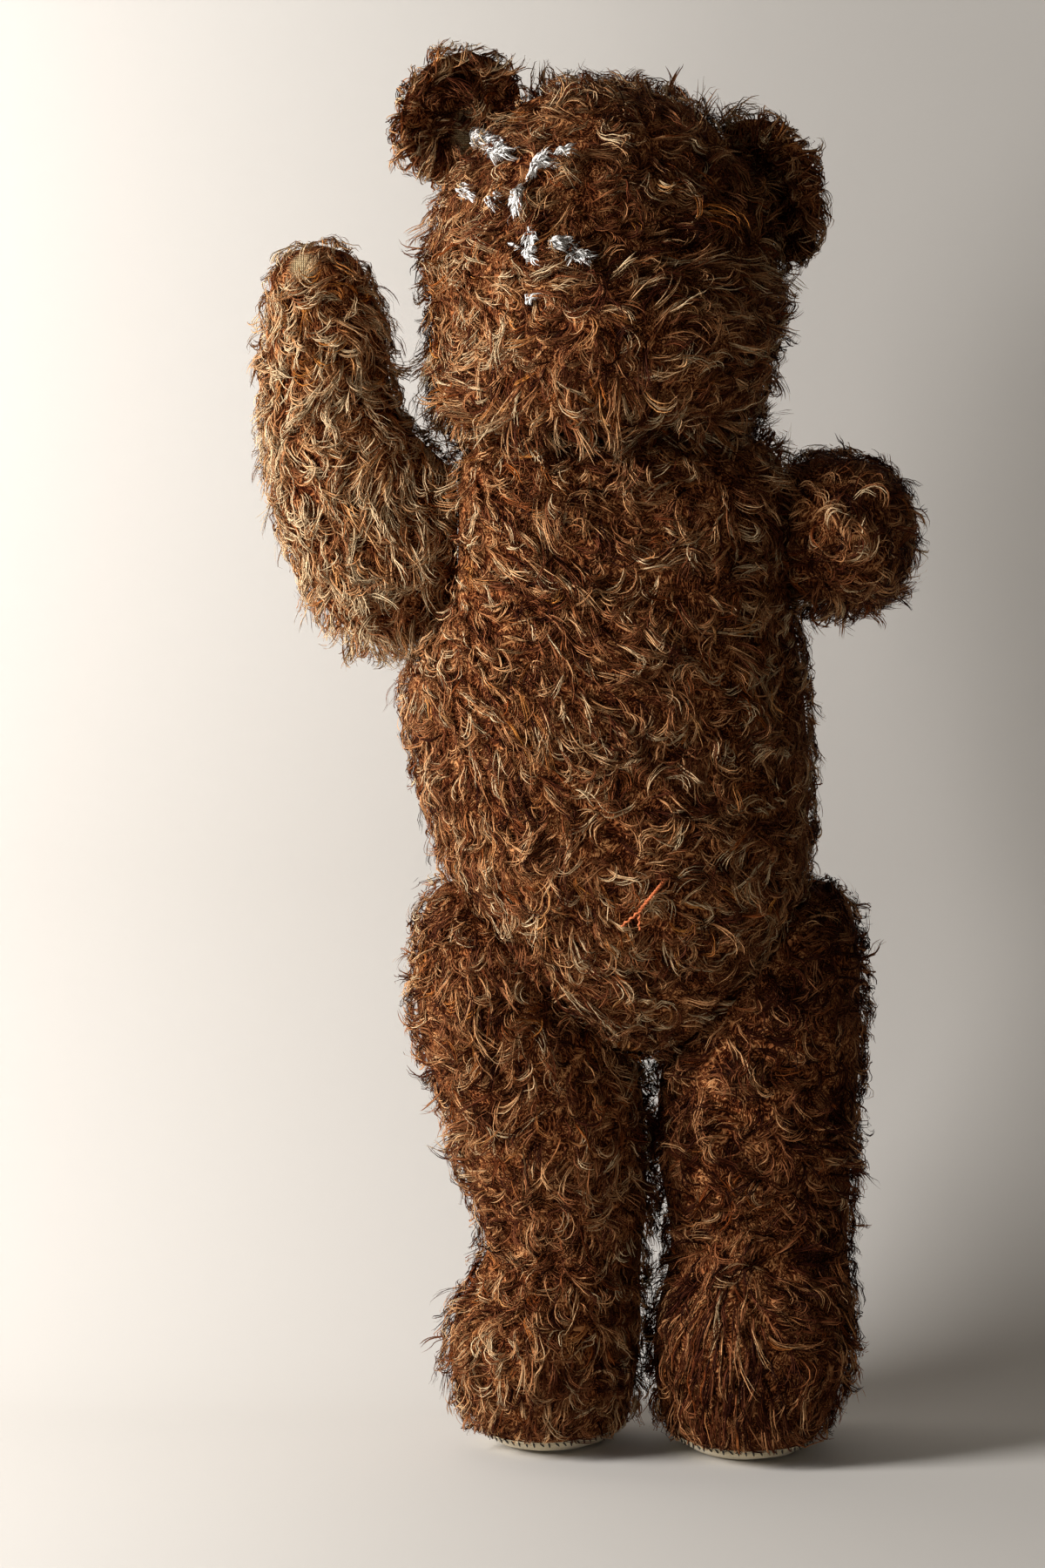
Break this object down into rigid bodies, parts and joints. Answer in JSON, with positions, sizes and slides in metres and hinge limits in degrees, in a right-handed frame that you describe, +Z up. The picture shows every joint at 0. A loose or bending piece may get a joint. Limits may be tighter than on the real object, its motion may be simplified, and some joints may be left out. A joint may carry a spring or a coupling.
{
  "type": "teddy bear",
  "caption": "Worn, jointed mohair teddy bear standing on felt soles, one arm raised and one turned back, head and limbs turning on disc joints.",
  "frame": {"origin": "middle of the bear's bounding box on the floor that it stands on", "axes": "+Z up through the head, -Y the way the bear faces, +X towards its left side"},
  "size_m": [0.2506, 0.1902, 0.5401],
  "materials": {
    "mohair": "matte",
    "wood_wool": "matte",
    "felt": "matte",
    "card": "matte",
    "hardboard": "matte",
    "steel": "satin",
    "red_thread": "matte"
  },
  "bodies": {
    "torso": {"belly_thread": "red_thread", "left_hip_pin": "steel", "left_hip_torso_disc": "hardboard", "left_hip_torso_washer": "steel", "left_shoulder_pin": "steel", "left_shoulder_torso_disc": "hardboard", "left_shoulder_torso_washer": "steel", "neck_pin": "steel", "neck_torso_disc": "hardboard", "neck_torso_washer": "steel", "right_hip_pin": "steel", "right_hip_torso_disc": "hardboard", "right_hip_torso_washer": "steel", "right_shoulder_pin": "steel", "right_shoulder_torso_disc": "hardboard", "right_shoulder_torso_washer": "steel", "torso_cover": "mohair", "torso_stuffing": "wood_wool"},
    "head": {"head_cover": "mohair", "head_stuffing": "wood_wool", "left_ear": "mohair", "neck_limb_disc": "hardboard", "neck_limb_washer": "steel", "right_ear": "mohair"},
    "right_arm": {"right_arm_cover": "mohair", "right_arm_stuffing": "wood_wool", "right_shoulder_limb_disc": "hardboard", "right_shoulder_limb_washer": "steel"},
    "left_arm": {"left_arm_cover": "mohair", "left_arm_stuffing": "wood_wool", "left_shoulder_limb_disc": "hardboard", "left_shoulder_limb_washer": "steel"},
    "right_leg": {"right_hip_limb_disc": "hardboard", "right_hip_limb_washer": "steel", "right_leg_board": "card", "right_leg_cover": "mohair", "right_leg_sole": "felt", "right_leg_stuffing": "wood_wool"},
    "left_leg": {"left_hip_limb_disc": "hardboard", "left_hip_limb_washer": "steel", "left_leg_board": "card", "left_leg_cover": "mohair", "left_leg_sole": "felt", "left_leg_stuffing": "wood_wool"}
  },
  "joints": [
    {"name": "neck_turn", "type": "hinge", "parent": "torso", "child": "head", "pos_m": [0.00705, -0.0158, 0.3961], "axis": [0, 0, 1], "continuous": true},
    {"name": "right_arm_turn", "type": "hinge", "parent": "torso", "child": "right_arm", "pos_m": [-0.05115, -0.0158, 0.3555], "axis": [1, 0, 0], "continuous": true},
    {"name": "left_arm_turn", "type": "hinge", "parent": "torso", "child": "left_arm", "pos_m": [0.07485, -0.0158, 0.3575], "axis": [1, 0, 0], "continuous": true},
    {"name": "right_leg_turn", "type": "hinge", "parent": "torso", "child": "right_leg", "pos_m": [-0.02095, -0.0168, 0.191], "axis": [-0.7314, 0, -0.682], "range_deg": [-60, 110]},
    {"name": "left_leg_turn", "type": "hinge", "parent": "torso", "child": "left_leg", "pos_m": [0.06205, -0.0168, 0.1925], "axis": [-0.766, 0, 0.6428], "range_deg": [-60, 110]}
  ]
}
